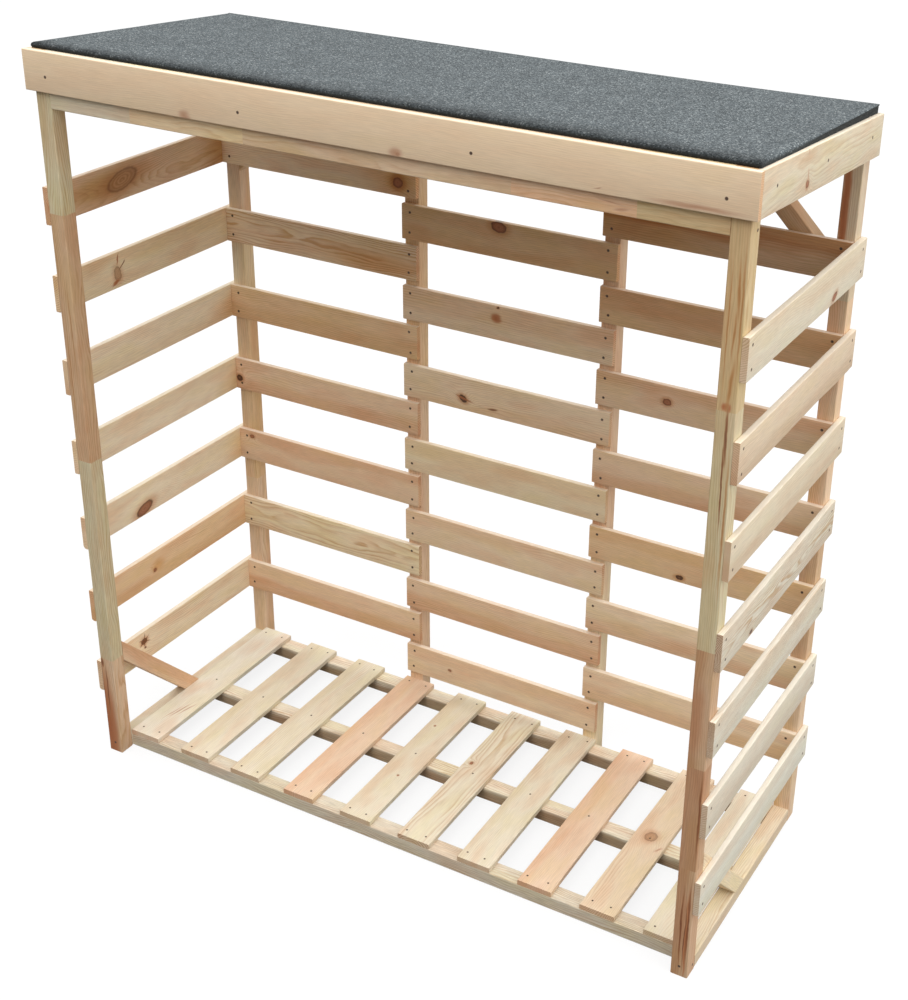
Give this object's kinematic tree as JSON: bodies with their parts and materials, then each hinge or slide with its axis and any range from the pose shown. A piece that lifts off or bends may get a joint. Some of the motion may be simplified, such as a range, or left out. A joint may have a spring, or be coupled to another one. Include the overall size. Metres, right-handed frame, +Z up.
{
  "type": "log store",
  "caption": "Open-fronted timber log store with slatted sides, back and floor, and a sloping felted roof.",
  "frame": {"origin": "on the ground, in the middle of the overall footprint", "axes": "+Z up, the open front faces -Y, +X to the right seen from the front"},
  "size_m": [1.332, 0.547, 1.458],
  "materials": {
    "front_post_left": "planed, finger-jointed softwood, untreated",
    "front_post_right": "planed, finger-jointed softwood, untreated",
    "front_header": "planed, finger-jointed softwood, untreated",
    "back_header": "planed, finger-jointed softwood, untreated",
    "top_rail_left": "planed pine, untreated",
    "top_rail_right": "planed pine, untreated",
    "rafter_left": "planed pine, untreated",
    "rafter_right": "planed pine, untreated",
    "brace_left": "planed pine, untreated",
    "brace_right": "planed pine, untreated",
    "knee_brace_left": "planed pine, untreated",
    "knee_brace_right": "planed pine, untreated",
    "bottom_rail_left": "planed pine, untreated",
    "bottom_rail_right": "planed pine, untreated",
    "bearer_front": "planed pine, untreated",
    "bearer_middle": "planed pine, untreated",
    "bearer_back": "planed pine, untreated",
    "side_slats_left": "planed pine slats, untreated, small knots",
    "side_slats_right": "planed pine slats, untreated, small knots",
    "back_slats_left": "planed pine slats, untreated, small knots",
    "back_slats_middle": "planed pine slats, untreated, small knots",
    "back_slats_right": "planed pine slats, untreated, small knots",
    "fascia_front": "planed pine, untreated",
    "fascia_left": "planed pine, untreated",
    "fascia_right": "planed pine, untreated",
    "fascia_back": "planed pine, untreated",
    "roof_board": "raw softwood board, unfinished",
    "roof_felt": "slate-grey mineral roofing felt, finely gritted, matt",
    "back_post_1": "planed, finger-jointed softwood, untreated",
    "back_post_2": "planed, finger-jointed softwood, untreated",
    "back_post_3": "planed, finger-jointed softwood, untreated",
    "back_post_4": "planed, finger-jointed softwood, untreated",
    "floor_slat_01": "planed pine slats, untreated, small knots",
    "floor_slat_02": "planed pine slats, untreated, small knots",
    "floor_slat_03": "planed pine slats, untreated, small knots",
    "floor_slat_04": "planed pine slats, untreated, small knots",
    "floor_slat_05": "planed pine slats, untreated, small knots",
    "floor_slat_06": "planed pine slats, untreated, small knots",
    "floor_slat_07": "planed pine slats, untreated, small knots",
    "floor_slat_08": "planed pine slats, untreated, small knots",
    "floor_slat_09": "planed pine slats, untreated, small knots",
    "floor_slat_10": "planed pine slats, untreated, small knots"
  },
  "bodies": {
    "root": {"front_post_left": "front_post_left", "front_post_right": "front_post_right", "front_header": "front_header", "back_header": "back_header", "top_rail_left": "top_rail_left", "top_rail_right": "top_rail_right", "rafter_left": "rafter_left", "rafter_right": "rafter_right", "brace_left": "brace_left", "brace_right": "brace_right", "knee_brace_left": "knee_brace_left", "knee_brace_right": "knee_brace_right", "bottom_rail_left": "bottom_rail_left", "bottom_rail_right": "bottom_rail_right", "bearer_front": "bearer_front", "bearer_middle": "bearer_middle", "bearer_back": "bearer_back", "side_slats_left": "side_slats_left", "side_slats_right": "side_slats_right", "back_slats_left": "back_slats_left", "back_slats_middle": "back_slats_middle", "back_slats_right": "back_slats_right", "fascia_front": "fascia_front", "fascia_left": "fascia_left", "fascia_right": "fascia_right", "fascia_back": "fascia_back", "roof_board": "roof_board", "roof_felt": "roof_felt", "back_post_1": "back_post_1", "back_post_2": "back_post_2", "back_post_3": "back_post_3", "back_post_4": "back_post_4", "floor_slat_01": "floor_slat_01", "floor_slat_02": "floor_slat_02", "floor_slat_03": "floor_slat_03", "floor_slat_04": "floor_slat_04", "floor_slat_05": "floor_slat_05", "floor_slat_06": "floor_slat_06", "floor_slat_07": "floor_slat_07", "floor_slat_08": "floor_slat_08", "floor_slat_09": "floor_slat_09", "floor_slat_10": "floor_slat_10"}
  },
  "joints": []
}
